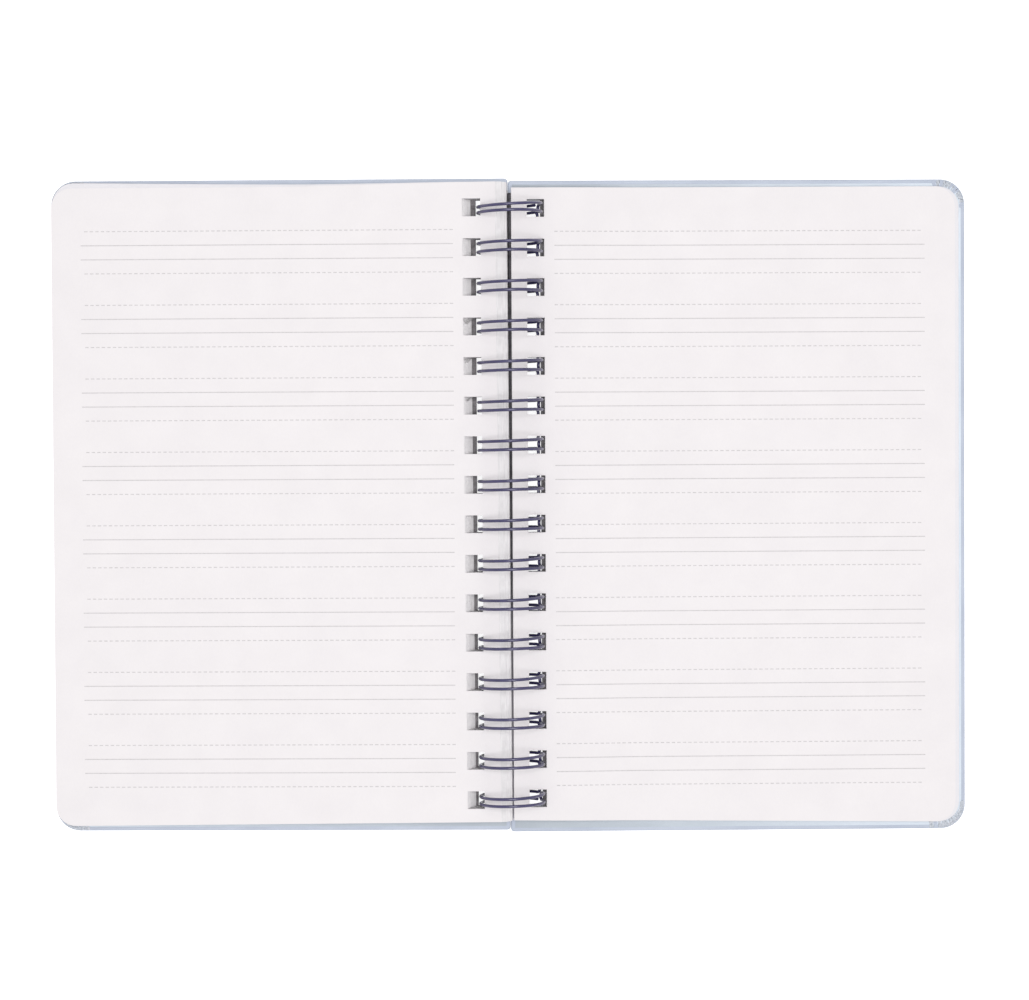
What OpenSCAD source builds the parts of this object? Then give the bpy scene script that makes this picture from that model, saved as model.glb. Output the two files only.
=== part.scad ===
// Twin-loop wire notebook lying open, in millimetres.
// X runs across the two halves, Y along the spine and Z up.
// The origin is on the table, below the axis of the rings and midway along the back cover.

/* [Pages] */
// Width of a sheet, from its punched edge to its fore-edge
page_width = 143.6; // [120:0.5:180]
// Height of a sheet along the spine
page_height = 206.2; // [200:0.2:230]
// Radius of the two corners at the fore-edge of a sheet
page_corner = 6.5; // [2:0.5:12]
// Thickness of the stack of sheets that has been turned to the left
turned_thickness = 6.8; // [3:0.1:7]
// Thickness of the stack of sheets that is left on the right
remaining_thickness = 2.2; // [0.8:0.1:2.4]
// Number of steps that the turned stack fans out in
turned_steps = 12; // [4:1:16]
// Number of steps that the remaining stack fans out in
remaining_steps = 4; // [2:1:6]
// Distance that the turned sheets slide outwards from the bottom to the top
turned_fan = 2.9; // [1:0.1:3]
// Distance that the fore-edges of the remaining sheets fan outwards from the top to the bottom
remaining_fan = 1.7; // [0.8:0.1:1.9]
// Middle of the sheets along Y, from the middle of the cover they lie on
page_shift = 0.5; // [-1:0.1:1]

/* [Covers] */
// Width of a cover, from its punched edge to its fore-edge
cover_width = 147.9; // [124:0.1:184]
// Height of a cover along the spine
cover_height = 211; // [206:0.2:240]
// Radius of the two corners at the fore-edge of a cover
cover_corner = 8; // [3:0.5:14]
// Radius of the two corners at the punched edge of a cover
cover_spine_corner = 1; // [1:0.5:4]
// Thickness of the greyboard
board_thickness = 1.8; // [1.2:0.1:2]
// Thickness of the paper that wraps the board
wrap_thickness = 0.2; // [0.15:0.05:0.3]
// Thickness of the paper that lines the inside of a cover
liner_thickness = 0.2; // [0.15:0.05:0.3]
// Width of the wrapping paper that is turned in over the board
turn_in = 15; // [14:1:25]
// Distance from the edge of a cover to the edge of its liner
liner_inset = 1.3; // [1:0.1:3]

/* [Holes] */
// Width of a punched hole, across the spine
hole_width = 5.6; // [5:0.1:6]
// Height of a punched hole, along the spine
hole_height = 5.7; // [5:0.1:7]
// Distance from the punched edge of a sheet to its holes
page_margin = 5.2; // [5:0.1:5.3]
// Distance from the punched edge of a cover to its holes
cover_margin = 4.7; // [4.5:0.1:4.9]

/* [Wire] */
// Number of double rings
ring_count = 16; // [4:1:16]
// Distance from one double ring to the next
ring_pitch = 12.7; // [12:0.1:12.7]
// Middle of the row of rings along Y, from the middle of the back cover
ring_shift = 1.1; // [-1.5:0.1:1.5]
// Outer diameter of a ring
ring_diameter = 21.4; // [21:0.1:22]
// Diameter of the coated wire
wire_diameter = 1; // [0.8:0.1:1.2]
// Distance between the two wires of a double ring
pair_width = 2.75; // [2.5:0.05:3]
// Distance between the two wires of the first and the last ring
end_pair_width = 2.3; // [2:0.05:2.5]
// Angle below the right half at which the ring wires bend into the links along the spine
foot_angle = 35.7; // [35:0.1:36.5]

/* [Lie of the open halves] */
// Distance along Y that the edges of the left half lie above those of the right half
front_shift = 0.7; // [-1:0.1:1]
// Underside of the front cover, below the axis of the rings
front_drop = 7.5; // [7.3:0.1:7.7]
// Underside of the back cover, below the axis of the rings
back_drop = 8.15; // [8.1:0.05:8.4]
// Punched edge of the front cover, from the middle plane
front_edge = 0.75; // [0.7:0.05:1]
// Gap that is left between the punched edges of the two covers
cover_gap = 0.15; // [0.1:0.05:0.3]
// Punched edge of the lowest turned sheet, from the middle plane
turned_edge = 1.2; // [0.8:0.1:1.6]
// Punched edge of the sheets on the right, from the middle plane
remaining_edge = 0.45; // [0.3:0.05:0.8]
// Gap between the back of the wire and the remaining sheets that rise over it
hump_clearance = 0.1; // [0.05:0.05:0.3]
// Distance from the middle plane at which the remaining sheets start to come down
hump_start = 13; // [12:1:20]
// Distance from the middle plane at which the remaining sheets lie on the cover
hump_end = 46; // [36:1:60]

/* [Hidden] */
$fn = 32;
page_colour = [0.95, 0.93, 0.94];
cover_colour = [0.77, 0.79, 0.85];
liner_colour = [0.83, 0.84, 0.88];
board_colour = [0.55, 0.54, 0.52];
wire_colour = [0.25, 0.23, 0.42];

cover_thickness = board_thickness + 2 * wrap_thickness + liner_thickness;
axis_height = ring_diameter / 2;
ring_radius = (ring_diameter - wire_diameter) / 2;
pair_half = pair_width / 2;
link_top = pair_half * cos(foot_angle) - ring_radius * sin(foot_angle) + wire_diameter / 2;
wire_hump = link_top + hump_clearance - (cover_thickness - back_drop);
first_ring = ring_shift - (ring_count - 1) * ring_pitch / 2;
link_length = ring_pitch - 2 * pair_width;
mouth_wedge = [[0, 0], [100, 0], [96, 28]];
mouth_angle = asin(0.28);
overlap = 0.5;
cut = 1;
hump_points = 16;

// Tilt of a half whose fore-edge rests on the table and whose underside passes the ring axis
// at a given drop.
function lie_angle(drop, reach) =
    asin(axis_height / sqrt(reach * reach + drop * drop)) - atan(drop / reach);
front_tilt = lie_angle(front_drop, front_edge + cover_width);
// The lean of the halves brings the punched edges of the covers together.
lean_room = 2 * front_drop * sin(front_tilt);
back_edge = cover_gap + lean_room - front_edge;
back_tilt = lie_angle(back_drop, back_edge + cover_width);

// Places a half, drawn outwards along +X from the ring axis, as it lies on the table.
module on_the_left() {
    translate([0, 0, axis_height])
        rotate([0, -front_tilt, 0])
            mirror([1, 0, 0])
                children();
}

module on_the_right() {
    translate([0, 0, axis_height])
        rotate([0, back_tilt, 0])
            children();
}

// A flat leaf with its punched edge at X = 0 and its corners rounded at both edges.
module leaf(width, height, thickness, outer_radius, inner_radius) {
    half = height / 2;
    linear_extrude(thickness)
        difference() {
            translate([0, -half])
                square([width, height]);
            for (side = [-1, 1]) {
                leaf_corner(0, side * half, 1, side, inner_radius);
                leaf_corner(width, side * half, -1, side, outer_radius);
            }
        }
}

// The waste outside a rounded corner at x, y. The leaf lies towards x_side and away from y_side.
module leaf_corner(x, y, x_side, y_side, radius) {
    if (radius > 0)
        translate([x, y])
            scale([x_side, -y_side])
                difference() {
                    translate([-cut, -cut])
                        square([radius + cut, radius + cut]);
                    translate([radius, radius])
                        circle(radius, $fn = 64);
                }
}

// The row of punched holes from x to x + hole_width, between two levels.
module hole_row(x, bottom, top) {
    for (i = [0 : ring_count - 1])
        translate([x, first_ring + i * ring_pitch - hole_height / 2, bottom])
            cube([hole_width, hole_height, top - bottom]);
}

// A leaf of a cover, set in from the cover's edges, between two levels above its underside.
module cover_leaf(inset, bottom, top) {
    translate([inset, 0, bottom])
        leaf(
            cover_width - 2 * inset,
            cover_height - 2 * inset,
            top - bottom,
            max(cover_corner - inset, 0.1),
            max(cover_spine_corner - inset, 0.1)
        );
}

// The holes of a cover whose own middle is moved along Y by a shift.
module cover_holes(shift) {
    translate([0, -shift, 0])
        hole_row(cover_margin, -cut, cover_thickness + cut);
}

board_bottom = wrap_thickness;
board_top = board_bottom + board_thickness;
turn_in_top = board_top + wrap_thickness;

// Greyboard, wrapped on its outside and over all four edges.
module cover_board(shift) {
    difference() {
        cover_leaf(wrap_thickness, board_bottom, board_top);
        cover_holes(shift);
    }
}

// Paper round the board: the outer face, the four edges and the turned-in margins.
module cover_wrap(shift) {
    difference() {
        cover_leaf(0, 0, turn_in_top);
        cover_leaf(wrap_thickness, board_bottom, board_top);
        cover_leaf(turn_in, board_top - cut / 2, turn_in_top + cut);
        cover_holes(shift);
    }
}

// Lining paper: it lies on the board and laps over the turned-in margins.
module cover_liner(shift) {
    difference() {
        union() {
            cover_leaf(turn_in, board_top, turn_in_top);
            difference() {
                cover_leaf(liner_inset, turn_in_top, cover_thickness);
                cover_leaf(turn_in + overlap, turn_in_top - cut, cover_thickness + cut);
            }
        }
        cover_holes(shift);
    }
}

module front_cover_place() {
    on_the_left()
        translate([front_edge, front_shift, -front_drop])
            children();
}

module back_cover_place() {
    on_the_right()
        translate([back_edge, 0, -back_drop])
            children();
}

module front_cover_board() {
    color(board_colour)
        front_cover_place()
            cover_board(front_shift);
}

module front_cover_wrap() {
    color(cover_colour)
        front_cover_place()
            cover_wrap(front_shift);
}

module front_cover_liner() {
    color(liner_colour)
        front_cover_place()
            cover_liner(front_shift);
}

module back_cover_board() {
    color(board_colour)
        back_cover_place()
            cover_board(0);
}

module back_cover_wrap() {
    color(cover_colour)
        back_cover_place()
            cover_wrap(0);
}

module back_cover_liner() {
    color(liner_colour)
        back_cover_place()
            cover_liner(0);
}

// Points of a fanned edge, seen along the spine, from the lowest group of sheets to the top one.
function fanned_edge(x, base, steps, step, slide) =
    [for (i = [0 : steps - 1], k = [0, 1]) [x + i * slide, base + (i + k) * step]];

function reversed(points) = [for (i = [len(points) - 1 : -1 : 0]) points[i]];

// Outline of a punched hole through a fanned stack, seen along the spine.
module fanned_hole(x, base, steps, step, slide) {
    edge = fanned_edge(x, base, steps, step, slide);
    foot = edge[0];
    head = edge[len(edge) - 1];
    across = [hole_width, 0];
    over = [0, cut];
    polygon(concat(
        [foot - over],
        edge,
        [head + over, head + over + across],
        [for (point = reversed(edge)) point + across],
        [foot - over + across]
    ));
}

// Gives an outline, drawn outwards and upwards, its length along the spine.
module along_spine(length) {
    rotate([90, 0, 0])
        linear_extrude(length, center = true)
            children();
}

// The row of holes through a fanned stack.
module fanned_hole_row(x, base, steps, step, slide) {
    for (i = [0 : ring_count - 1])
        translate([0, first_ring + i * ring_pitch, 0])
            along_spine(hole_height)
                fanned_hole(x, base, steps, step, slide);
}

// Takes the two fore-edge corners off each group of a fanned stack. The cut of the group that
// reaches further out runs on past the shorter group beside it.
module fanned_corners(x, steps, step, slide) {
    for (i = [0 : steps - 1], side = [-1, 1]) {
        over = slide < 0 || i == steps - 1 ? cut : 0;
        under = slide > 0 || i == 0 ? cut : 0;
        translate([x + i * slide, side * page_height / 2, i * step - under])
            linear_extrude(under + step + over)
                leaf_corner(0, 0, -1, side, page_corner);
    }
}

// Sheets that have been turned: each group hangs a little further out on the rings.
module turned_pages() {
    step = turned_thickness / turned_steps;
    slide = turned_fan / (turned_steps - 1);
    inner = fanned_edge(turned_edge, 0, turned_steps, step, slide);
    outer = fanned_edge(turned_edge + page_width, 0, turned_steps, step, slide);
    color(page_colour)
        on_the_left()
            translate([0, 0, cover_thickness - front_drop])
                difference() {
                    translate([0, front_shift + page_shift, 0])
                        difference() {
                            along_spine(page_height)
                                polygon(concat(inner, reversed(outer)));
                            fanned_corners(turned_edge + page_width, turned_steps, step, slide);
                        }
                    fanned_hole_row(turned_edge + page_margin, 0, turned_steps, step, slide);
                }
}

// Level of the underside of the remaining sheets above the cover at a distance x.
function hump(x) =
    let (t = min(max((x - hump_start) / (hump_end - hump_start), 0), 1))
    wire_hump * (1 + cos(180 * t)) / 2;

// Sheets not yet turned: they rise over the back of the wire and lie flat beyond it.
module remaining_pages() {
    step = remaining_thickness / remaining_steps;
    slide = -remaining_fan / (remaining_steps - 1);
    fore_edge = remaining_edge + page_width + remaining_fan;
    inner = fanned_edge(remaining_edge, wire_hump, 1, remaining_thickness, 0);
    outer = fanned_edge(fore_edge, 0, remaining_steps, step, slide);
    curve = [
        for (i = [0 : hump_points])
            let (x = hump_start + (hump_end - hump_start) * i / hump_points)
            [x, hump(x)]
    ];
    color(page_colour)
        on_the_right()
            translate([0, 0, cover_thickness - back_drop])
                difference() {
                    translate([0, page_shift, 0])
                        difference() {
                            along_spine(page_height)
                                polygon(concat(
                                    inner,
                                    [for (point = curve) point + [0, remaining_thickness]],
                                    reversed(outer),
                                    reversed(curve)
                                ));
                            fanned_corners(fore_edge, remaining_steps, step, slide);
                        }
                    hole_row(
                        remaining_edge + page_margin,
                        wire_hump - cut,
                        wire_hump + remaining_thickness + cut
                    );
                }
}

// A circle of wire section at a given distance from the axis of a bend.
module wire_section(distance) {
    translate([distance, 0])
        circle(d = wire_diameter);
}

// Goes to the end of a ring wire. There X is outwards, Y is along the ring and -Z is along the spine.
module at_foot(y) {
    translate([0, y, 0])
        rotate([90, 0, 0])
            translate([ring_radius, 0, 0])
                children();
}

// Goes to the start of a ring wire, past the mouth.
module at_tip(y) {
    translate([0, y, 0])
        rotate([90, 0, 0])
            rotate([0, 0, mouth_angle])
                translate([ring_radius, 0, 0])
                    children();
}

// One wire of a ring, open at the mouth.
module ring_wire(y) {
    translate([0, y, 0])
        rotate([90, 0, 0])
            difference() {
                rotate_extrude($fn = 96)
                    wire_section(ring_radius);
                linear_extrude(2 * wire_diameter, center = true)
                    polygon(mouth_wedge);
            }
}

// The closed tip that joins the two wires of a ring.
module ring_tip(y, width) {
    at_tip(y)
        rotate([180, 90, 0])
            rotate_extrude(angle = 180)
                wire_section(width / 2);
}

// A foot bend, from a ring wire into the straight link to the next ring.
module foot_bend(y, side) {
    at_foot(y + side * pair_width)
        rotate([0, 90, 0])
            rotate([0, 0, side > 0 ? 90 : 0])
                rotate_extrude(angle = 90)
                    wire_section(pair_half);
}

// The straight link along the spine that starts at a foot bend.
module link(y) {
    at_foot(y)
        translate([0, pair_half, 0])
            rotate([180, 0, 0])
                linear_extrude(link_length)
                    wire_section(0);
}

// One continuous wire, bent into double rings whose tips close onto their own feet.
module wire_binding() {
    last = ring_count - 1;
    color(wire_colour)
        translate([0, 0, axis_height])
            rotate([0, back_tilt + foot_angle, 0])
                union()
                    for (i = [0 : last]) {
                        y = first_ring + i * ring_pitch;
                        low = i == 0 ? end_pair_width - pair_half : pair_half;
                        high = i == last ? end_pair_width - pair_half : pair_half;
                        ring_wire(y - low);
                        ring_wire(y + high);
                        ring_tip(y + (high - low) / 2, low + high);
                        if (i > 0)
                            foot_bend(y, -1);
                        if (i < last) {
                            foot_bend(y, 1);
                            link(y + pair_width);
                        }
                    }
}

wire_binding();
front_cover_board();
front_cover_wrap();
front_cover_liner();
back_cover_board();
back_cover_wrap();
back_cover_liner();
turned_pages();
remaining_pages();
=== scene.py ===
import math
import random

import bmesh
import bpy
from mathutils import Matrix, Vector
from mathutils.geometry import tessellate_polygon


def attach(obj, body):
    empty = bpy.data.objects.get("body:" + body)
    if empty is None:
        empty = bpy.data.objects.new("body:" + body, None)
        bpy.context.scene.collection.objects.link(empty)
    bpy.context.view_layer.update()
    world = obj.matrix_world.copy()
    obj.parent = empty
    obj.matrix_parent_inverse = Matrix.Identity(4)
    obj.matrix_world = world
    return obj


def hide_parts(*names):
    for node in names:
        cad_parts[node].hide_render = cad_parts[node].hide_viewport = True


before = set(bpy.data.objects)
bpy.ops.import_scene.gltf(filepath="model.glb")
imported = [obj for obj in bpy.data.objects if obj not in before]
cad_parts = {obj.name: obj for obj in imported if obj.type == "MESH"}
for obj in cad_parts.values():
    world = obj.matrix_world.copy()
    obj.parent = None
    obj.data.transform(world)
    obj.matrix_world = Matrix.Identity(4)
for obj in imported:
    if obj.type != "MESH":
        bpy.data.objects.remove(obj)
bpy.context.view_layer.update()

MM = 0.001

# Pages, in millimetres, with the sheets of a stack counted from 0 at the bottom to 1 at the top
PAGE_WIDTH = 143.6
PAGE_HEIGHT = 205.5
PAGE_CORNER = 6.5
PAGE_CORNER_STEPS = 10
PAGE_MARGIN = 5.2
# Width from the punched edge over which the sheets' faces take the cut-edge material as painted shade
EDGE_SHADE_BAND = 13.8
TURNED_THICKNESS = 6.8
TURNED_SHEETS = 60
TURNED_EDGE = 1.2
TURNED_FORE_FAN = 2.55
TURNED_TERRACES = (
    (0.0, -0.72),
    (0.6, -0.52),
    (0.62, -0.15),
    (0.78, -0.05),
    (0.8, 0.5),
    (0.93, 1.1),
    (0.95, 2.4),
    (1.0, 2.9),
)
TURNED_HOLES = ((7.2, 12.65), (9.3, 15.2))
TURNED_SHIFT = 0.5
TURNED_CLIMB = 2.3
CLIMB_LOSS = 0.3
LEVEL_TOP = 0.18
TURNED_SLANT = 0.5
TURNED_HOLE_SLANT = 0.45
HOLE_SLANT_FROM = 0.9
TURNED_FOOT = (1.0, 0.0)
TURNED_HEAD = 1.35
HEAD_WIDTH = 75.0
TURNED_STATIONS = [25.0, 37.0, 50.0, 62.0, HEAD_WIDTH]
REMAINING_THICKNESS = 2.2
REMAINING_SHEETS = 20
REMAINING_EDGE = 0.45
REMAINING_FAN = 1.4
REMAINING_TRIM = 0.22
REMAINING_SHIFT = 0.2
REMAINING_FOOT = (1.3, -0.35)
REMAINING_HOLES = ((4.9, 11.2), (5.65, 11.25))
HUMP_START = 13.0
HUMP_END = 46.0
HUMP_STEPS = 14
HUMP_CLEARANCE = 0.1
SHEET_AIR = 0.012
EDGE_SLIP = 0.1
CLIMB_SLIP = 0.12
HOLE_SLIP = 0.05
REACH_START = 40.0
REACH_RUN = 30.0
END_RUN = 3.0

# Covers, in millimetres
COVER_WIDTH = 147.9
COVER_HEIGHT = 211.0
COVER_CORNER = 8.0
COVER_SPINE_CORNER = 1.0
COVER_MARGIN = 4.7
COVER_THICKNESS = 2.4
LINER_THICKNESS = 0.2
COVER_EDGE_RADIUS = 0.5
COVER_REACH = 0.04
GUTTER_HALF = 101.6
COVER_GAP = 0.15
FRONT_EDGE = 0.75
FRONT_DROP = 7.5
FRONT_SHIFT = 0.7
BACK_DROP = 8.15
COVER_CORNER_STEPS = 14
COVER_EDGE_STEPS = 5
# Dark bar of painted shade along the joint, between the stacks
JOINT_SHADE_STRIP = (0.35, 1.6)
JOINT_SHADE_STRIP_LEVELS = (-0.05, 0.03)
# Dark bar of painted shade under the front cover's punched edge
SHADE_TONGUE = (-0.5, 0.6)
SHADE_TONGUE_LEVELS = (0.03, 0.15)
# Dark board strips of painted shade past the outer side of each hole
LEDGE_GAP = 0.02
LEDGE_WIDTH = 1.7
LEDGE_OVERHANG = 0.15
LEDGE_LEVELS = (-0.15, 0.02)

# Folds of the wrapping at the covers' corners, in millimetres
FRONT_FOLDS = ((2.4, 2.4), (2.4, 0.7))
BACK_FOLDS = ((1.85, 2.6), (1.85, 2.5))
FOLD_START = -1.2
FOLD_END = 2.5
FOLD_ROOT = -0.05
FOLD_OUTER_HEIGHTS = (0.1, 0.16)
CREASE_CHANCE = 0.25
CREASE_WIDTH = 0.25
CREASE_HEIGHTS = (0.22, 0.06)

# Lowest and highest of each random size of a fold, in millimetres
FOLD_WIDTH = (0.5, 1.6)
FOLD_GAP = (0.02, 0.2)
FOLD_HIGH_SIDE = (0.26, 0.33)
FOLD_LOW_SIDE = (0.23, 0.27)
FOLD_SHORTER = (0, 0.12)
FOLD_OUTER_END = (0.2, 0.4)
FOLD_LEAN = (-0.5, 0.5)
FOLD_BEND = (-0.15, 0.15)

# Punched holes, in millimetres
HOLE_WIDTH = 5.6
HOLE_HEIGHT = 5.7
HOLE_TOLERANCE = 0.1

# Wire, in millimetres and radians
RING_COUNT = 16
RING_PITCH = 12.7
RING_SHIFT = 1.1
RING_DIAMETER = 21.4
WIRE_DIAMETER = 1.0
PAIR_HALF = 2.75 / 2
END_PAIR_WIDTH = 2.3
END_PRESS = 0.5
FOOT_ANGLE = math.radians(35.7)
MOUTH_ANGLE = math.asin(0.28)
TIP_SPLAY = 0.28
SPLAY_ANGLE = math.radians(120)
SPLAY_QUICKNESS = 5
RING_SLANT = 0.3
RING_LEAN = 0.12
RING_STEPS = 72
BEND_STEPS = 6
WIRE_SIDES = 14

# Ruling, in millimetres
GROUP_COUNT = 8
GROUP_LINES = 4
SOLID_LINES = (1, 2)
GROUP_PITCH_LEFT = 23.64
GROUP_PITCH_RIGHT = 23.62
LINE_SPACING = 4.51
LINE_WIDTH = 0.3
LINE_HEIGHT = 0.01
LINE_SUNK = 0.002
LINE_START = 14.0
LINE_END = 133.8
LINE_PIECES = 80
DASH_PITCH = 1.78
DASH_LENGTH = 1.1
DASH_TOLERANCE = 0.01
RULING_SHIFT_LEFT = -0.18
RULING_SHIFT_RIGHT = -0.59

# Angles, in degrees, past which an edge stays sharp
COVER_SHARP = 35
WIRE_SHARP = 50

# Slots of the materials of a sheet and of a cover
PAPER_SLOT = 0
EDGE_AND_SHADE_SLOT = 1
WRAP_SLOT = 0
BOARD_SLOT = 1
JOINT_SHADE_SLOT = 2
CREASED_SLOT = 3

# Camera, floor and light, in metres and degrees, with the lens in millimetres and the lamp in watts
CAMERA_PLACE = (-0.0002, 0.0241, 0.9)
CAMERA_TURN = (-1.394, -0.096, -0.288)
CAMERA_NEAR = 0.01
SENSOR_WIDTH = 36
LENS = 96.73
FLOOR_HALF = 3.0
FLOOR_GREY = 0.86
FLOOR_GLOW = 0.8
SKY_STRENGTH = 0.48
LAMP_PLACE = (0.05, 0.0, 1.6)
LAMP_SIZE = 0.8
LAMP_POWER = 15.0
WHITE = (1, 1, 1)

AXIS_HEIGHT = RING_DIAMETER / 2
RING_RADIUS = (RING_DIAMETER - WIRE_DIAMETER) / 2
LAST_RING = RING_COUNT - 1
FIRST_RING_Y = RING_SHIFT - LAST_RING * RING_PITCH / 2
RINGS = [FIRST_RING_Y + i * RING_PITCH for i in range(RING_COUNT)]
FRONT_TOP = COVER_THICKNESS - FRONT_DROP
BACK_TOP = COVER_THICKNESS - BACK_DROP
LINK_TOP = PAIR_HALF * math.cos(FOOT_ANGLE) - RING_RADIUS * math.sin(FOOT_ANGLE) + WIRE_DIAMETER / 2
HUMP = LINK_TOP + HUMP_CLEARANCE - BACK_TOP
HUMP_STATIONS = [
    HUMP_START + (HUMP_END - HUMP_START) * i / HUMP_STEPS - REMAINING_EDGE
    for i in range(HUMP_STEPS + 1)
]

random.seed(11)


def lie_angle(drop, reach):
    """Lean of a half whose fore-edge rests on the table."""
    return math.asin(AXIS_HEIGHT / math.hypot(reach, drop)) - math.atan(drop / reach)


FRONT_LEAN = lie_angle(FRONT_DROP, FRONT_EDGE + COVER_WIDTH)
BACK_EDGE = COVER_GAP + 2 * FRONT_DROP * math.sin(FRONT_LEAN) - FRONT_EDGE
BACK_LEAN = lie_angle(BACK_DROP, BACK_EDGE + COVER_WIDTH)


def on_the_left(u, y, v):
    """Place, in metres, of a point u outwards and v above the rings' axis on the left half."""
    x = u * math.cos(FRONT_LEAN) + v * math.sin(FRONT_LEAN)
    z = v * math.cos(FRONT_LEAN) - u * math.sin(FRONT_LEAN)
    return Vector((-x, y, AXIS_HEIGHT + z)) * MM


def on_the_right(u, y, v):
    """Place, in metres, of a point u outwards and v above the rings' axis on the right half."""
    x = u * math.cos(BACK_LEAN) + v * math.sin(BACK_LEAN)
    z = v * math.cos(BACK_LEAN) - u * math.sin(BACK_LEAN)
    return Vector((x, y, AXIS_HEIGHT + z)) * MM


def smooth(t):
    """Eases from 0 to 1."""
    t = min(max(t, 0.0), 1.0)
    return t * t * (3 - 2 * t)


def hump(u):
    """Rise of the right-hand sheets over the back of the wire."""
    t = min(max((u - HUMP_START) / (HUMP_END - HUMP_START), 0.0), 1.0)
    return HUMP * (1 + math.cos(math.pi * t)) / 2


# Materials

def new_material(name, roughness, specular):
    """A material, with its node tree and its Principled shader."""
    material = bpy.data.materials.new(name)
    material.use_nodes = True
    shader = material.node_tree.nodes["Principled BSDF"]
    shader.inputs["Roughness"].default_value = roughness
    shader.inputs["Specular IOR Level"].default_value = specular
    return material, material.node_tree, shader


def noise(tree, scale, detail, stretch=(1, 1, 1)):
    """Noise in object space: scale is in waves a metre, and stretch makes it finer along an axis."""
    place = tree.nodes.new("ShaderNodeTexCoord")
    mapping = tree.nodes.new("ShaderNodeMapping")
    mapping.inputs["Scale"].default_value = stretch
    texture = tree.nodes.new("ShaderNodeTexNoise")
    texture.inputs["Scale"].default_value = scale
    texture.inputs["Detail"].default_value = detail
    tree.links.new(place.outputs["Object"], mapping.inputs["Vector"])
    tree.links.new(mapping.outputs["Vector"], texture.inputs["Vector"])
    return texture.outputs["Fac"]


def ramp(tree, factor, stops):
    """Colours along a factor: stops are (place, colour)."""
    node = tree.nodes.new("ShaderNodeValToRGB")
    elements = node.color_ramp.elements
    while len(elements) < len(stops):
        elements.new(0.5)
    for element, (place, colour) in zip(elements, stops):
        element.position = place
        element.color = (*colour, 1)
    tree.links.new(factor, node.inputs["Fac"])
    return node.outputs["Color"]


def mottle(tree, texture, low, high):
    """Two colours, blended over the middle of a noise."""
    return ramp(tree, texture, [(0.3, low), (0.7, high)])


def multiply(tree, first, second):
    """One colour times another."""
    node = tree.nodes.new("ShaderNodeMix")
    node.data_type = "RGBA"
    node.blend_type = "MULTIPLY"
    node.inputs["Factor"].default_value = 1
    tree.links.new(first, node.inputs["A"])
    tree.links.new(second, node.inputs["B"])
    return node.outputs["Result"]


def object_axis(tree, name):
    """Place along an axis of the object, in metres."""
    place = tree.nodes.new("ShaderNodeTexCoord")
    axes = tree.nodes.new("ShaderNodeSeparateXYZ")
    tree.links.new(place.outputs["Object"], axes.inputs["Vector"])
    return axes.outputs[name]


def shade_and_light_outwards(tree, near, far):
    """Grey that runs from near, at the rings' axis, to far, at the fore-edges: painted shade towards the
    rings and painted light towards the fore-edges.
    """
    size = tree.nodes.new("ShaderNodeMath")
    size.operation = "ABSOLUTE"
    tree.links.new(object_axis(tree, "X"), size.inputs[0])
    grey = tree.nodes.new("ShaderNodeMapRange")
    grey.inputs["From Max"].default_value = COVER_WIDTH * MM
    grey.inputs["To Min"].default_value = near
    grey.inputs["To Max"].default_value = far
    tree.links.new(size.outputs[0], grey.inputs["Value"])
    return grey.outputs["Result"]


def bump(tree, shader, height, strength, distance):
    """Bump from a height between 0 and 1 that stands for a distance in metres."""
    node = tree.nodes.new("ShaderNodeBump")
    node.inputs["Strength"].default_value = strength
    node.inputs["Distance"].default_value = distance
    tree.links.new(height, node.inputs["Height"])
    tree.links.new(node.outputs["Normal"], shader.inputs["Normal"])


def page_paper(name, low, high):
    """Smooth white paper with a faint rosy or lilac cast, cloudy where fibres lie thicker."""
    material, tree, shader = new_material(name, roughness=0.78, specular=0.3)
    clouds = mottle(tree, noise(tree, 90, detail=4), low, high)
    fine = noise(tree, 2600, detail=2, stretch=(1, 0.35, 1))
    fibres = mottle(tree, fine, (0.985, 0.985, 0.985), WHITE)
    tree.links.new(multiply(tree, clouds, fibres), shader.inputs["Base Color"])
    bump(tree, shader, noise(tree, 2600, detail=3), strength=0.25, distance=0.00002)
    return material


def paper_edges_and_shade():
    """Cut edges of the paper, a shade darker than its faces, with streaks along the layers; also laid on
    the sheets' faces near the punched edge as painted shade of the terraces and holes.
    """
    material, tree, shader = new_material("paper_edges_and_shade", roughness=0.85, specular=0.2)
    streaks = noise(tree, 1200, detail=3, stretch=(0.2, 0.2, 4))
    layers = mottle(tree, streaks, (0.77, 0.75, 0.76), (0.9, 0.88, 0.89))
    tree.links.new(layers, shader.inputs["Base Color"])
    return material


def ink():
    """Pale warm grey printing ink, a little uneven where the paper took less."""
    material, tree, shader = new_material("ruling_ink", roughness=0.8, specular=0.2)
    colour = mottle(tree, noise(tree, 1500, detail=2), (0.6, 0.575, 0.585), (0.7, 0.675, 0.685))
    tree.links.new(colour, shader.inputs["Base Color"])
    return material


def cover_paper():
    """Matt grey blue covering paper with a fine grain, rubbed paler in places."""
    material, tree, shader = new_material("cover_paper", roughness=0.6, specular=0.35)
    tones = [(0.25, (0.5, 0.55, 0.655)), (0.75, (0.6, 0.65, 0.75))]
    clouds = ramp(tree, noise(tree, 60, detail=5), tones)
    grain = mottle(tree, noise(tree, 3200, detail=2), (0.93, 0.93, 0.94), WHITE)
    tree.links.new(multiply(tree, clouds, grain), shader.inputs["Base Color"])
    bump(tree, shader, noise(tree, 2400, detail=4), strength=0.5, distance=0.00004)
    return material


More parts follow.
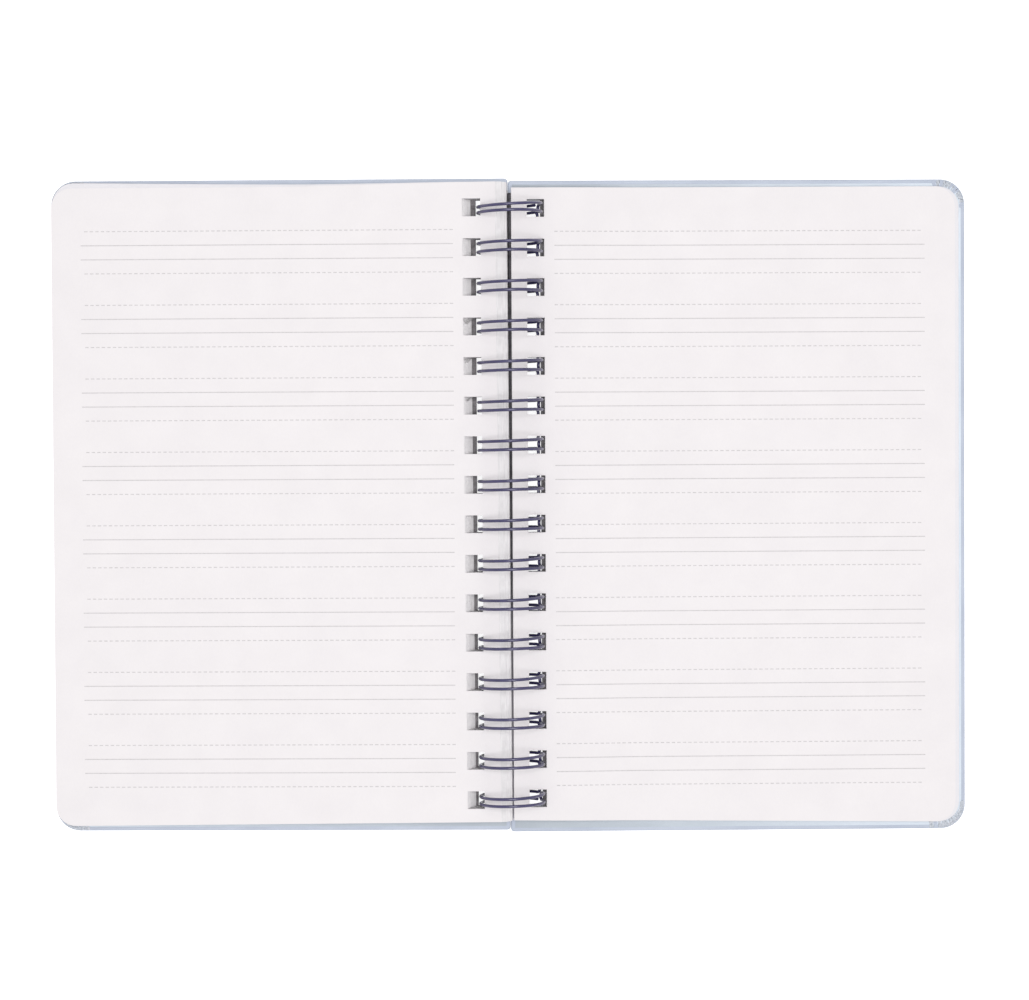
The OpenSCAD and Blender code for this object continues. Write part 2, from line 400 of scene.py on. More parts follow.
def lining_paper():
    """Paler lining paper inside the covers, with painted shade towards the rings and painted light
    towards the fore-edges.
    """
    material, tree, shader = new_material("lining_paper", roughness=0.7, specular=0.3)
    clouds = mottle(tree, noise(tree, 70, detail=4), (0.61, 0.67, 0.74), (0.67, 0.73, 0.8))
    grain = mottle(tree, noise(tree, 2800, detail=2), (0.95, 0.95, 0.95), WHITE)
    paper = multiply(tree, clouds, grain)
    # Painted shade near the rings, painted light near the fore-edges
    shaded = multiply(tree, paper, shade_and_light_outwards(tree, 0.76, 1.2))
    tree.links.new(shaded, shader.inputs["Base Color"])
    bump(tree, shader, noise(tree, 2400, detail=3), strength=0.3, distance=0.00003)
    return material


def joint():
    """Painted shade down the joint, where the covers meet under the rings, painted paler at the foot."""
    material, tree, shader = new_material("cover_joint_painted_shade", roughness=0.85, specular=0.15)
    dark = mottle(tree, noise(tree, 700, detail=3), (0.1, 0.095, 0.105), (0.19, 0.182, 0.2))
    # Less painted shade towards the foot of the joint
    fade_start = -0.02
    fade_end = -0.09
    fade = tree.nodes.new("ShaderNodeMapRange")
    fade.inputs["From Min"].default_value = fade_start
    fade.inputs["From Max"].default_value = fade_end
    tree.links.new(object_axis(tree, "Y"), fade.inputs["Value"])
    mix = tree.nodes.new("ShaderNodeMix")
    mix.data_type = "RGBA"
    mix.inputs["B"].default_value = (0.68, 0.65, 0.72, 1)
    tree.links.new(fade.outputs["Result"], mix.inputs["Factor"])
    tree.links.new(dark, mix.inputs["A"])
    tree.links.new(mix.outputs["Result"], shader.inputs["Base Color"])
    return material


def creased_paper():
    """Covering paper where it is gathered round a corner: rubbed grey and streaked."""
    material, tree, shader = new_material("creased_paper", roughness=0.75, specular=0.25)
    tones = [
        (0.3, (0.37, 0.4, 0.45)),
        (0.5, (0.55, 0.585, 0.645)),
        (0.7, (0.72, 0.745, 0.79)),
    ]
    streaks = ramp(tree, noise(tree, 1600, detail=4), tones)
    tree.links.new(streaks, shader.inputs["Base Color"])
    bump(tree, shader, noise(tree, 1500, detail=4), strength=0.8, distance=0.0001)
    return material


def greyboard():
    """Raw binder's board, layered and speckled, in the punched holes."""
    material, tree, shader = new_material("greyboard", roughness=0.9, specular=0.2)
    streaks = noise(tree, 1400, detail=3, stretch=(0.3, 0.3, 4))
    layers = mottle(tree, streaks, (0.16, 0.152, 0.158), (0.34, 0.32, 0.335))
    specks = ramp(tree, noise(tree, 4200, detail=2), [(0.35, (0.7, 0.7, 0.7)), (0.5, WHITE)])
    tree.links.new(multiply(tree, layers, specks), shader.inputs["Base Color"])
    bump(tree, shader, noise(tree, 1800, detail=4, stretch=(0.5, 0.5, 3)), strength=0.7, distance=0.00008)
    return material


def coated_wire():
    """Steel wire under a smooth violet blue coating, a little uneven in gloss."""
    material, tree, shader = new_material("coated_wire", roughness=0.3, specular=0.5)
    shader.inputs["Coat Weight"].default_value = 0.4
    shader.inputs["Coat Roughness"].default_value = 0.08
    colour = mottle(tree, noise(tree, 420, detail=3), (0.034, 0.029, 0.096), (0.052, 0.045, 0.134))
    tree.links.new(colour, shader.inputs["Base Color"])
    bump(tree, shader, noise(tree, 900, detail=2), strength=0.25, distance=0.00003)
    return material


PAGE = page_paper("page_paper", (0.878, 0.843, 0.857), (0.905, 0.87, 0.882))
# Page paper a little darker: painted shade for the lower sheets of each stack where they show past the
# top sheet
SHADED_PAGE_PAPER = page_paper("page_paper_painted_shade", (0.829, 0.812, 0.844), (0.854, 0.838, 0.869))
PAGE_EDGE_AND_SHADE = paper_edges_and_shade()
INK = ink()
COVER = cover_paper()
LINING = lining_paper()
BOARD = greyboard()
JOINT_SHADE = joint()
CREASED = creased_paper()
WIRE = coated_wire()


# Geometry

def rounded_outline(width, height, inner_radius, outer_radius, inset, steps, stops=()):
    """A leaf's outline from its punched edge at u = 0, counter-clockwise, drawn in by an inset.

    Stops are extra points along the punched edge.
    """
    points = []
    half = height / 2
    corners = [
        (0, -half, 1, 1, inner_radius, 180),
        (width, -half, -1, 1, outer_radius, 270),
        (width, half, -1, -1, outer_radius, 0),
        (0, half, 1, -1, inner_radius, 90),
    ]
    for u, y, inwards_u, inwards_y, radius, start in corners:
        reach = max(radius - inset, 0.0)
        middle_u = u + inwards_u * max(radius, inset)
        middle_y = y + inwards_y * max(radius, inset)
        count = steps if radius > 0 else 0
        for i in range(count + 1):
            angle = math.radians(start + 90 * i / max(count, 1))
            points.append((middle_u + reach * math.cos(angle), middle_y + reach * math.sin(angle)))
    points.extend((inset, y) for y in stops)
    return points


def hole_outline(u, ring_y):
    """A punched hole, clockwise."""
    half = HOLE_HEIGHT / 2
    return [
        (u, ring_y - half),
        (u, ring_y + half),
        (u + HOLE_WIDTH, ring_y + half),
        (u + HOLE_WIDTH, ring_y - half),
    ]


class Builder:
    """Collects the vertices and faces of one mesh."""

    def __init__(self):
        self.vertices = []
        self.faces = []
        self.slots = []

    def add(self, points):
        """Adds vertices and gives their numbers."""
        first = len(self.vertices)
        self.vertices.extend(points)
        return list(range(first, len(self.vertices)))

    def face(self, corners, slot=0):
        """A face, counter-clockwise seen from outside, in a material slot."""
        self.faces.append(corners)
        self.slots.append(slot)

    def strip(self, lower, upper):
        """Quads between two closed loops of as many points."""
        count = len(lower)
        for i in range(count):
            j = (i + 1) % count
            self.face([lower[i], lower[j], upper[j], upper[i]])

    def object(self, name, materials):
        """The mesh as a new object."""
        mesh = bpy.data.meshes.new(name)
        mesh.from_pydata(self.vertices, [], self.faces)
        for material in materials:
            mesh.materials.append(material)
        mesh.polygons.foreach_set("material_index", self.slots)
        mesh.update()
        piece = bpy.data.objects.new(name, mesh)
        bpy.context.scene.collection.objects.link(piece)
        return piece


def shade_smooth(piece, angle):
    """Smooth shading, with sharp edges past an angle in degrees."""
    for polygon in piece.data.polygons:
        polygon.use_smooth = True
    piece.data.set_sharp_from_angle(angle=math.radians(angle))


def flat_mesh(outline, holes, stations):
    """A filled outline with holes, cut along lines of constant u, as an open mesh."""
    loops = [[Vector((u, y, 0)) for u, y in loop] for loop in [outline] + holes]
    mesh = bmesh.new()
    corners = [mesh.verts.new(point) for loop in loops for point in loop]
    for triangle in tessellate_polygon(loops):
        mesh.faces.new([corners[i] for i in triangle])
    for station in stations:
        everything = mesh.verts[:] + mesh.edges[:] + mesh.faces[:]
        bmesh.ops.bisect_plane(mesh, geom=everything, plane_co=(station, 0, 0), plane_no=(1, 0, 0))
    bmesh.ops.recalc_face_normals(mesh, faces=mesh.faces[:])
    return mesh


def sheet_template(stations, shift):
    """A flat sheet from its punched edge at u = 0: points, upward faces and border edges."""
    outline = rounded_outline(PAGE_WIDTH, PAGE_HEIGHT, 0, PAGE_CORNER, 0, PAGE_CORNER_STEPS)
    holes = [hole_outline(PAGE_MARGIN, ring) for ring in RINGS]
    outline = [(u, y + shift) for u, y in outline]
    mesh = flat_mesh(outline, holes, stations)
    mesh.verts.index_update()
    points = [(vertex.co.x, vertex.co.y) for vertex in mesh.verts]
    faces = []
    for face in mesh.faces:
        corners = [vertex.index for vertex in face.verts]
        faces.append(corners if face.normal.z > 0 else corners[::-1])
    edges = []
    for corners in faces:
        edges.extend(zip(corners, corners[1:] + corners[:1]))
    known = set(edges)
    border = [(a, b) for a, b in edges if (b, a) not in known]
    mesh.free()
    return points, faces, border


def is_hole_point(u, w):
    """Whether a point of the flat sheet is a corner of a hole."""
    in_band = PAGE_MARGIN - HOLE_TOLERANCE < u < PAGE_MARGIN + HOLE_WIDTH + HOLE_TOLERANCE
    return in_band and RINGS[0] - HOLE_HEIGHT < w < RINGS[-1] + HOLE_HEIGHT


def shaped_hole_point(u, w, hole, on_left):
    """Place on a shaped sheet of a hole's corner: hole is where the holes start and end."""
    slant = TURNED_HOLE_SLANT * (2 * w / PAGE_HEIGHT - HOLE_SLANT_FROM) if on_left else 0
    if u < PAGE_MARGIN + HOLE_WIDTH / 2:
        return hole[0] + slant / 2, w
    return hole[1] + slant, w


def shaped_point(u, w, edge, climb, reach, on_left):
    """Place on a shaped sheet of any other point: outwards and along Y.

    Towards its fore-edge the sheet climbs along Y and reaches out past its width. It is shifted at
    its foot, past the first ring, and the left ones also at their head, past the last.
    """
    foot = TURNED_FOOT if on_left else REMAINING_FOOT
    head = TURNED_HEAD if on_left else 0
    if on_left:
        slant = TURNED_SLANT * (2 * w / PAGE_HEIGHT) * (1 - smooth(u / PAGE_WIDTH))
    else:
        slant = REMAINING_TRIM * (1 - smooth(u / PAGE_MARGIN))
    past_foot = smooth((RINGS[0] - HOLE_HEIGHT / 2 - w) / END_RUN)
    past_head = smooth((w - RINGS[-1] - HOLE_HEIGHT / 2) / END_RUN)
    rise = (foot[0] + (foot[1] - foot[0]) * u / PAGE_WIDTH) * past_foot
    rise += head * (1 - smooth(u / HEAD_WIDTH)) * past_head
    out = reach * smooth((u - PAGE_WIDTH + REACH_START) / REACH_RUN) + slant
    return edge + u + out, w + climb * u / PAGE_WIDTH + rise


def add_sheet(builder, template, place, edge, climb, level, thickness, hole, reach):
    """One closed sheet: level(u) is its underside and hole where its holes start and end."""
    points, faces, border = template
    on_left = place is on_the_left
    flat = []
    for u, w in points:
        if is_hole_point(u, w):
            flat.append(shaped_hole_point(u, w, hole, on_left))
        else:
            flat.append(shaped_point(u, w, edge, climb, reach, on_left))
    lower = builder.add([place(u, w, level(u)) for u, w in flat])
    upper = builder.add([place(u, w, level(u) + thickness) for u, w in flat])
    for corners in faces:
        # Faces near the punched edge take the cut-edge material as painted shade of the terraces and
        # holes
        in_band = all(points[i][0] < EDGE_SHADE_BAND + HOLE_TOLERANCE for i in corners)
        slot = EDGE_AND_SHADE_SLOT if in_band else PAPER_SLOT
        top = [upper[i] for i in corners]
        bottom = [lower[i] for i in reversed(corners)]
        builder.face(top[::-1] if on_left else top, slot)
        builder.face(bottom[::-1] if on_left else bottom, slot)
    for a, b in border:
        wall = [lower[a], lower[b], upper[b], upper[a]]
        builder.face(wall[::-1] if on_left else wall, EDGE_AND_SHADE_SLOT)


# Sheets

def turned_level(i):
    """Underside of a turned sheet, as a function of the place outwards."""
    return lambda u: FRONT_TOP + i * TURNED_THICKNESS / TURNED_SHEETS


def remaining_level(i):
    """Underside of a remaining sheet, as a function of the place outwards."""
    return lambda u: BACK_TOP + hump(u) + i * REMAINING_THICKNESS / REMAINING_SHEETS


def along(stops, t):
    """Value at t on a line through (t, value) stops."""
    for (start, low), (end, high) in zip(stops, stops[1:]):
        if t <= end:
            return low + (high - low) * (t - start) / (end - start)
    return stops[-1][1]


def turned_edge(t):
    """Punched edge of a turned sheet from the bottom, t = 0, to the top: they hang in terraces."""
    return TURNED_EDGE + along(TURNED_TERRACES, t)


def between(low, high, t):
    """Blend of two pairs of numbers."""
    return tuple(a + (b - a) * t for a, b in zip(low, high))


def turned_hole(t):
    """Start and end of a turned sheet's holes."""
    return between(*TURNED_HOLES, t)


def remaining_edge(t):
    """Punched edge of a remaining sheet: they hang level."""
    return REMAINING_EDGE


def remaining_hole(t):
    """Start and end of a remaining sheet's holes."""
    return between(*REMAINING_HOLES, t)


def turned_reach(t):
    """How far a turned sheet's fore-edge stands out past its width: they fan evenly there."""
    return TURNED_EDGE + TURNED_FORE_FAN * t - turned_edge(t)


def remaining_reach(t):
    """How far a remaining sheet's fore-edge stands out past its width."""
    return REMAINING_FAN * (1 - t ** 4)


def sheet_stack(name, place, count, thickness, shift, climb, rules, stations, body, node):
    """All the sheets of a stack but the top one, as one piece, and the top one as another."""
    edge_of, level_of, hole_of, reach_of = rules
    template = sheet_template([EDGE_SHADE_BAND] + stations, shift)
    paper = thickness / count - SHEET_AIR
    stack = Builder()
    for i in range(count - 1):
        t = i / (count - 1)
        edge = edge_of(t) + (random.uniform(-EDGE_SLIP, EDGE_SLIP) if i > 0 else 0)
        rise = climb * (1 - CLIMB_LOSS * t) * (1 - smooth((t - (1 - LEVEL_TOP)) / LEVEL_TOP))
        rise += random.uniform(-CLIMB_SLIP, CLIMB_SLIP)
        hole = [side + random.uniform(-HOLE_SLIP, HOLE_SLIP) for side in hole_of(t)]
        add_sheet(stack, template, place, edge, rise, level_of(i), paper, hole, reach_of(t))
    # The lower sheets take the darker page paper as painted shade
    lower = stack.object(name + "_stack", [SHADED_PAGE_PAPER, PAGE_EDGE_AND_SHADE])
    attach(lower, body)
    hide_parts(node)
    sheet = Builder()
    level = level_of(count - 1)
    add_sheet(sheet, template, place, edge_of(1), 0, level, paper, hole_of(1), reach_of(1))
    top = sheet.object(name + "_top_sheet", [PAGE, PAGE])
    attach(top, body)


def add_line(builder, place, level, y, start, end, pieces):
    """A printed line on a sheet, as a thin closed bar that follows the paper."""
    rings = []
    for i in range(pieces + 1):
        u = start + (end - start) * i / pieces
        section = [
            place(u, y - LINE_WIDTH / 2, level(u)),
            place(u, y + LINE_WIDTH / 2, level(u)),
            place(u, y + LINE_WIDTH / 2, level(u) + LINE_HEIGHT),
            place(u, y - LINE_WIDTH / 2, level(u) + LINE_HEIGHT),
        ]
        rings.append(builder.add(section))
    mirrored = place is on_the_left
    for a, b in zip(rings, rings[1:]):
        for i in range(4):
            j = (i + 1) % 4
            wall = [a[i], b[i], b[j], a[j]]
            builder.face(wall if mirrored else wall[::-1])
    builder.face(rings[0] if mirrored else rings[0][::-1])
    builder.face(rings[-1][::-1] if mirrored else rings[-1])


def ruling(name, place, edge, level, shift, pitch, body):
    """Groups of four lines: dashed, solid, solid, dashed, as a piece of each kind."""
    solid = Builder()
    dashed = Builder()
    start = edge + LINE_START
    end = edge + LINE_END
    top_line = shift + ((GROUP_COUNT - 1) * pitch + (GROUP_LINES - 1) * LINE_SPACING) / 2
    for group in range(GROUP_COUNT):
        for line in range(GROUP_LINES):
            y = top_line - group * pitch - line * LINE_SPACING
            if line in SOLID_LINES:
                add_line(solid, place, level, y, start, end, LINE_PIECES)
                continue
            u = start
            while u + DASH_LENGTH <= end + DASH_TOLERANCE:
                add_line(dashed, place, level, y, u, u + DASH_LENGTH, 1)
                u += DASH_PITCH
    for builder, kind in ((solid, "solid_lines"), (dashed, "dashed_lines")):
        piece = builder.object(name + "_" + kind, [INK])
        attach(piece, body)


def line_level(level_of, count, thickness):
    """Underside of the lines on a top sheet, just below its upper face."""
    paper = thickness / count - SHEET_AIR
    level = level_of(count - 1)
    return lambda u: level(u) + paper - LINE_SUNK


sheet_stack(
    "turned", on_the_left, TURNED_SHEETS, TURNED_THICKNESS, TURNED_SHIFT, TURNED_CLIMB,
    (turned_edge, turned_level, turned_hole, turned_reach), TURNED_STATIONS,
    "front_half", "turned_pages",
)
sheet_stack(
    "remaining", on_the_right, REMAINING_SHEETS, REMAINING_THICKNESS, REMAINING_SHIFT, 0.0,
    (remaining_edge, remaining_level, remaining_hole, remaining_reach), HUMP_STATIONS,
    "back_half", "remaining_pages",
)
ruling(
    "turned", on_the_left, turned_edge(1),
    line_level(turned_level, TURNED_SHEETS, TURNED_THICKNESS), RULING_SHIFT_LEFT,
    GROUP_PITCH_LEFT, "front_half",
)
ruling(
    "remaining", on_the_right, remaining_edge(1),
    line_level(remaining_level, REMAINING_SHEETS, REMAINING_THICKNESS), RULING_SHIFT_RIGHT,
    GROUP_PITCH_RIGHT, "back_half",
)


# Covers

def add_prism(builder, lower, upper, mirrored, slot):
    """A closed prism between two loops, counter-clockwise seen from above."""
    faces = [lower[::-1], upper[:]]
    for i in range(len(lower)):
        j = (i + 1) % len(lower)
        faces.append([lower[i], lower[j], upper[j], upper[i]])
    for corners in faces:
        builder.face(corners[::-1] if mirrored else corners, slot)


def add_bar(builder, spot, across, along_edge, levels, mirrored, slot):
    """A flat bar between two places outwards, two along Y and two levels."""
    start, end = across
    foot, head = along_edge
    corners = [(start, foot), (end, foot), (end, head), (start, head)]
    lower = builder.add([spot(u, y, levels[0]) for u, y in corners])
    upper = builder.add([spot(u, y, levels[1]) for u, y in corners])
    add_prism(builder, lower, upper, mirrored, slot)


def add_ledge_shade(builder, spot, ring, mirrored):
    """Dark board-coloured strip on the lining past the outer side of a hole: painted shade of the hollow
    there.
    """
    start = COVER_MARGIN + HOLE_WIDTH + LEDGE_GAP
    half = HOLE_HEIGHT / 2 + LEDGE_OVERHANG
    across = (start, start + LEDGE_WIDTH)
    beside_hole = (ring - half, ring + half)
    add_bar(builder, spot, across, beside_hole, LEDGE_LEVELS, mirrored, BOARD_SLOT)


def add_pleats(builder, spot, side, reach, mirrored):
    """Folds of the wrapping paper, gathered round a corner at the fore-edge.

    Reach is how far in they go at the fore-edge and at the head or foot.
    """
    middle_u = COVER_WIDTH - COVER_CORNER
    middle_y = side * (COVER_HEIGHT / 2 - COVER_CORNER)
    arc = COVER_CORNER * math.pi / 2

    def at(way, depth, height):
        """A point along the edge, past the start of the corner at the fore-edge, and in from it."""
        radius = COVER_CORNER - depth
        angle = min(max(way / COVER_CORNER, 0), math.pi / 2)
        u = middle_u + radius * math.cos(angle) - max(way - arc, 0)
        y = middle_y + side * (radius * math.sin(angle) + min(way, 0))
        return spot(u, y, height)

    def fold(corners, heights, slot):
        """A low prism on corners (way, depth), with its own height at each."""
        if side < 0:
            corners = corners[::-1]
            heights = heights[::-1]
        lower = builder.add([at(*corner, FOLD_ROOT) for corner in corners])
        upper = builder.add([at(*corner, height) for corner, height in zip(corners, heights)])
        add_prism(builder, lower, upper, mirrored, slot)

    way = FOLD_START
    while way < arc + FOLD_END:
        width = random.uniform(*FOLD_WIDTH)
        high = random.uniform(*FOLD_HIGH_SIDE)
        low = random.uniform(*FOLD_LOW_SIDE)
        inner = reach[0] + (reach[1] - reach[0]) * smooth(way / arc * 2)
        inner -= random.uniform(*FOLD_SHORTER)
        outer = random.uniform(*FOLD_OUTER_END)
        lean = random.uniform(*FOLD_LEAN)
        middle = (inner + outer) / 2
        bend = random.uniform(*FOLD_BEND)
        end = way + width
        corners = [
            (way + lean, inner),
            (way + bend, middle),
            (way, outer),
            (end, outer),
            (end + bend, middle),
            (end + lean, inner),
        ]
        slot = random.choice((WRAP_SLOT, CREASED_SLOT, CREASED_SLOT, CREASED_SLOT))
        fold(corners, (low, low, *FOLD_OUTER_HEIGHTS, high, high), slot)
        # Some folds get a dark strip of painted shade in the gap after them
        if random.random() < CREASE_CHANCE:
            past = end + CREASE_WIDTH
            crease = [(end, middle), (end, outer), (past, outer), (past, middle)]
            fold(crease, CREASE_HEIGHTS + CREASE_HEIGHTS[::-1], JOINT_SHADE_SLOT)
        way = end + random.uniform(*FOLD_GAP)


def edge_profile(height):
    """Rounded edge of a cover from its underside to its top, as (inset, level)."""
    quarter = [math.pi / 2 * i / COVER_EDGE_STEPS for i in range(COVER_EDGE_STEPS + 1)]
    lower = [
        (COVER_EDGE_RADIUS * (1 - math.sin(angle)), COVER_EDGE_RADIUS * (1 - math.cos(angle)))
        for angle in quarter
    ]
    upper = [
        (COVER_EDGE_RADIUS * (1 - math.cos(angle)), height - COVER_EDGE_RADIUS * (1 - math.sin(angle)))
        for angle in quarter
    ]
    return lower + upper


def cover(name, place, edge, bottom, shift, folds, body, *nodes):
    """Wrapped board with rounded edges, punched holes that show the raw board, and dark strips of painted
    shade along the joint and past the holes.

    Folds say how far in the wrapping is gathered, first at the foot's corner and then at the head's,
    and each at the fore-edge and round the corner.
    """
    height = COVER_THICKNESS - LINER_THICKNESS
    mirrored = place is on_the_left
    builder = Builder()
    holes = [hole_outline(COVER_MARGIN, ring) for ring in RINGS]

    def outline(inset):
        """The cover's outline, with the part along the joint as its last edge but one."""
        points = rounded_outline(
            COVER_WIDTH + COVER_REACH, COVER_HEIGHT, COVER_SPINE_CORNER, COVER_CORNER, inset,
            COVER_CORNER_STEPS, (GUTTER_HALF, -GUTTER_HALF),
        )
        return [(u - COVER_REACH, y + shift) for u, y in points]

    def loop(points, level):
        """Vertices of a loop at a level above the cover's underside."""
        return builder.add([place(edge + u, y, bottom + level) for u, y in points])

    def put(corners, slot=WRAP_SLOT):
        """A face given as on the right half."""
        builder.face(corners[::-1] if mirrored else corners, slot)

    def on_top(u, y, v):
        """A place above the wrapping."""
        return place(edge + u, y + shift, bottom + height + v)

    def on_lining(u, y, v):
        """A place above the lining."""
        return place(edge + u, y, bottom + height + LINER_THICKNESS + v)

    def underneath(u, y, v):
        """A place above the cover's underside."""
        return place(edge + u, y + shift, bottom + v)

    profile = edge_profile(height)
    rings = [loop(outline(inset), level) for inset, level in profile]
    for lower, upper in zip(rings, rings[1:]):
        count = len(lower)
        for i in range(count):
            j = (i + 1) % count
            # The rounded edge along the joint takes the joint's painted shade
            slot = JOINT_SHADE_SLOT if i == count - 2 else WRAP_SLOT
            put([lower[i], lower[j], upper[j], upper[i]], slot)
    low_holes = [loop(hole, 0) for hole in holes]
    high_holes = [loop(hole, height) for hole in holes]
    for lower, upper in zip(low_holes, high_holes):
        for i in range(4):
            j = (i + 1) % 4
            put([lower[i], lower[j], upper[j], upper[i]], BOARD_SLOT)
    for k, hole_rings, upwards in ((0, low_holes, False), (-1, high_holes, True)):
        flat = [outline(profile[k][0])] + holes
        loops = [[Vector((u, y, 0)) for u, y in points] for points in flat]
        corners = rings[k] + [corner for hole in hole_rings for corner in hole]
        places = [point for points in loops for point in points]
        for triangle in tessellate_polygon(loops):
            a, b, c = (places[i] for i in triangle)
            faces_up = (b - a).cross(c - a).z > 0
            triangle = [corners[i] for i in triangle]
            put(triangle if faces_up == upwards else triangle[::-1])
    gutter = (-GUTTER_HALF, GUTTER_HALF)
    # Dark bar of painted shade along the joint, between the stacks
    add_bar(builder, on_top, JOINT_SHADE_STRIP, gutter, JOINT_SHADE_STRIP_LEVELS, mirrored, JOINT_SHADE_SLOT)
    for side, reach in zip((-1, 1), folds):
        add_pleats(builder, on_top, side, reach, mirrored)
    # Dark board strips of painted shade past each hole
    for ring in RINGS:
        add_ledge_shade(builder, on_lining, ring, mirrored)
    if not mirrored:
        # Dark bar of painted shade on the back cover, reaching under the front cover's punched edge over
        # the floor seen through the gap between the covers
        add_bar(builder, underneath, SHADE_TONGUE, gutter, SHADE_TONGUE_LEVELS, mirrored, JOINT_SHADE_SLOT)
    piece = builder.object(name, [COVER, BOARD, JOINT_SHADE, CREASED])
    shade_smooth(piece, COVER_SHARP)
    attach(piece, body)
    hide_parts(*nodes)


cover(
    "front_cover", on_the_left, FRONT_EDGE, -FRONT_DROP, FRONT_SHIFT, FRONT_FOLDS,
    "front_half", "front_cover_wrap", "front_cover_board",
)
cover(
    "back_cover", on_the_right, BACK_EDGE, -BACK_DROP, 0.0, BACK_FOLDS,
    "back_half", "back_cover_wrap", "back_cover_board",
)
for node in ("front_cover_liner", "back_cover_liner"):
    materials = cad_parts[node].data.materials
    materials.clear()
    materials.append(LINING)


# Wire

def ring_slope(x):
    """How far a ring stands along Y at a place across it: the rings run slightly aslant."""
    return RING_SLANT * x / RING_RADIUS


def ring_point(angle, y, past=0):
    """Place, in metres, of a point on a ring, or past it along its tangent.

    The angle is from the foot, up over the back half.
    """
    turn = angle - FOOT_ANGLE - BACK_LEAN
    x = RING_RADIUS * math.cos(turn) - past * math.sin(turn)
    z = RING_RADIUS * math.sin(turn) + past * math.cos(turn)
    return Vector((x, y + ring_slope(x), AXIS_HEIGHT + z)) * MM


def pair_spread(angle):
    """How far a ring wire stands out from its straight place: the pair widens above the tip."""
    t = (angle - MOUTH_ANGLE) / SPLAY_ANGLE
    if t >= 1:
        return 0.0
    return TIP_SPLAY * smooth(t * SPLAY_QUICKNESS) * (1 - smooth(t))


def wire_path():
    """One continuous path through all the rings, from foot to head."""
    path = []
    angles = [
        2 * math.pi + (MOUTH_ANGLE - 2 * math.pi) * k / RING_STEPS
        for k in range(RING_STEPS + 1)
    ]
    for i, y in enumerate(RINGS):
        low = PAIR_HALF if i > 0 else END_PAIR_WIDTH - PAIR_HALF
        high = PAIR_HALF if i < LAST_RING else END_PAIR_WIDTH - PAIR_HALF
        lean = random.uniform(-RING_LEAN, RING_LEAN)
        press = END_PRESS if i == LAST_RING else 0
        if i > 0:
            for k in range(BEND_STEPS):
                turn = math.pi / 2 * (1 - k / BEND_STEPS)
                aside = y - 2 * PAIR_HALF + PAIR_HALF * math.cos(turn)
                path.append(ring_point(0, aside, PAIR_HALF * math.sin(turn)))
        for angle in angles:
            sway = lean * math.sin(angle / 2) ** 2
            path.append(ring_point(angle, y - low - pair_spread(angle) + sway))
        middle = y + (high - low) / 2
        radius = (high + low) / 2
        for k in range(1, 2 * BEND_STEPS):
            turn = math.pi * k / (2 * BEND_STEPS)
            aside = middle - radius * math.cos(turn)
            path.append(ring_point(MOUTH_ANGLE, aside, -radius * math.sin(turn)))
        for angle in reversed(angles):
            sway = lean * math.sin(angle / 2) ** 2
            pressed = press * math.sin(angle / 2) ** 2
            path.append(ring_point(angle, y + high + pair_spread(angle) + sway - pressed))
        if i < LAST_RING:
            for k in range(1, BEND_STEPS + 1):
                turn = math.pi / 2 * k / BEND_STEPS
                aside = y + 2 * PAIR_HALF - PAIR_HALF * math.cos(turn)
                path.append(ring_point(0, aside, PAIR_HALF * math.sin(turn)))
    return path


def wire_piece():
    """A round tube swept along the wire's path."""
    path = wire_path()
    builder = Builder()
    radius = WIRE_DIAMETER / 2 * MM
    across = None
    rings = []
    for i, point in enumerate(path):
        ahead = path[min(i + 1, len(path) - 1)]
        behind = path[max(i - 1, 0)]
        way = (ahead - behind).normalized()
        if across is None:
            across = way.orthogonal()
        across = (across - way * across.dot(way)).normalized()
        other = way.cross(across)
        section = []
        for k in range(WIRE_SIDES):
            angle = 2 * math.pi * k / WIRE_SIDES
            section.append(point + radius * (math.cos(angle) * across + math.sin(angle) * other))
        rings.append(builder.add(section))
    for lower, upper in zip(rings, rings[1:]):
        builder.strip(lower, upper)
    builder.face(rings[0][::-1])
    builder.face(rings[-1])
    piece = builder.object("twin_loop_wire", [WIRE])
    shade_smooth(piece, WIRE_SHARP)
    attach(piece, "back_half")
    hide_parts("wire_binding")


wire_piece()


# Stage

def seen_directly(tree):
    """1 for rays from the camera and for rays that reflect or pass through."""
    path = tree.nodes.new("ShaderNodeLightPath")
    total = path.outputs["Is Camera Ray"]
    for name in ("Is Glossy Ray", "Is Transmission Ray"):
        node = tree.nodes.new("ShaderNodeMath")
        node.operation = "MAXIMUM"
        tree.links.new(total, node.inputs[0])
        tree.links.new(path.outputs[name], node.inputs[1])
        total = node.outputs[0]
    return total


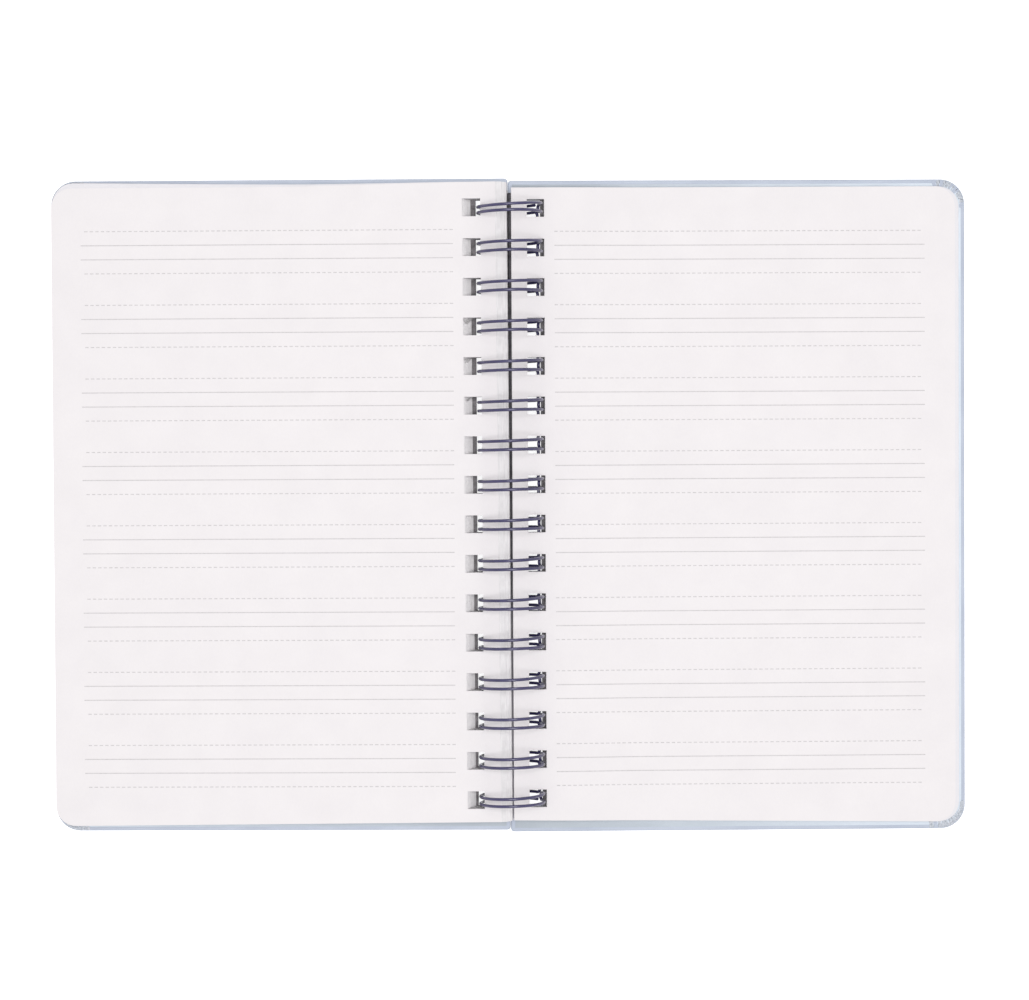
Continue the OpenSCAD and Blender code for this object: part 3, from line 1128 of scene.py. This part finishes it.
def floor():
    """A plain white table that keeps a soft shadow."""
    mesh = bpy.data.meshes.new("floor")
    signs = ((-1, -1), (1, -1), (1, 1), (-1, 1))
    corners = [(x * FLOOR_HALF, y * FLOOR_HALF, 0) for x, y in signs]
    mesh.from_pydata(corners, [], [(0, 1, 2, 3)])
    plane = bpy.data.objects.new("floor", mesh)
    bpy.context.scene.collection.objects.link(plane)
    material, tree, shader = new_material("floor_white", roughness=0.9, specular=0.0)
    shader.inputs["Base Color"].default_value = (FLOOR_GREY, FLOOR_GREY, FLOOR_GREY, 1)
    shader.inputs["Emission Color"].default_value = (*WHITE, 1)
    lift = tree.nodes.new("ShaderNodeMath")
    lift.operation = "MULTIPLY"
    lift.inputs[1].default_value = FLOOR_GLOW
    tree.links.new(seen_directly(tree), lift.inputs[0])
    tree.links.new(lift.outputs[0], shader.inputs["Emission Strength"])
    mesh.materials.append(material)


def lamp():
    """A large soft square lamp overhead that looks at the notebook."""
    light = bpy.data.lights.new("key_lamp", "AREA")
    light.shape = "SQUARE"
    light.size = LAMP_SIZE
    light.energy = LAMP_POWER
    piece = bpy.data.objects.new("key_lamp", light)
    piece.location = LAMP_PLACE
    piece.rotation_euler = (-Vector(LAMP_PLACE)).to_track_quat("-Z", "Y").to_euler()
    bpy.context.scene.collection.objects.link(piece)


def sky():
    """Soft light from all round, and a white backdrop where it is seen."""
    world = bpy.data.worlds.new("studio")
    world.use_nodes = True
    tree = world.node_tree
    soft = tree.nodes["Background"]
    soft.inputs["Color"].default_value = (*WHITE, 1)
    soft.inputs["Strength"].default_value = SKY_STRENGTH
    backdrop = tree.nodes.new("ShaderNodeBackground")
    backdrop.inputs["Color"].default_value = (*WHITE, 1)
    mix = tree.nodes.new("ShaderNodeMixShader")
    tree.links.new(seen_directly(tree), mix.inputs[0])
    tree.links.new(soft.outputs[0], mix.inputs[1])
    tree.links.new(backdrop.outputs[0], mix.inputs[2])
    tree.links.new(mix.outputs[0], tree.nodes["World Output"].inputs["Surface"])
    bpy.context.scene.world = world


def camera():
    """Almost straight above the rings, a little towards the head of the pages."""
    data = bpy.data.cameras.new("camera")
    data.sensor_fit = "HORIZONTAL"
    data.sensor_width = SENSOR_WIDTH
    data.lens = LENS
    data.clip_start = CAMERA_NEAR
    piece = bpy.data.objects.new("camera", data)
    piece.location = CAMERA_PLACE
    piece.rotation_euler = [math.radians(angle) for angle in CAMERA_TURN]
    bpy.context.scene.collection.objects.link(piece)
    bpy.context.scene.camera = piece


floor()
sky()
lamp()
camera()
bpy.context.scene.view_settings.view_transform = "Standard"
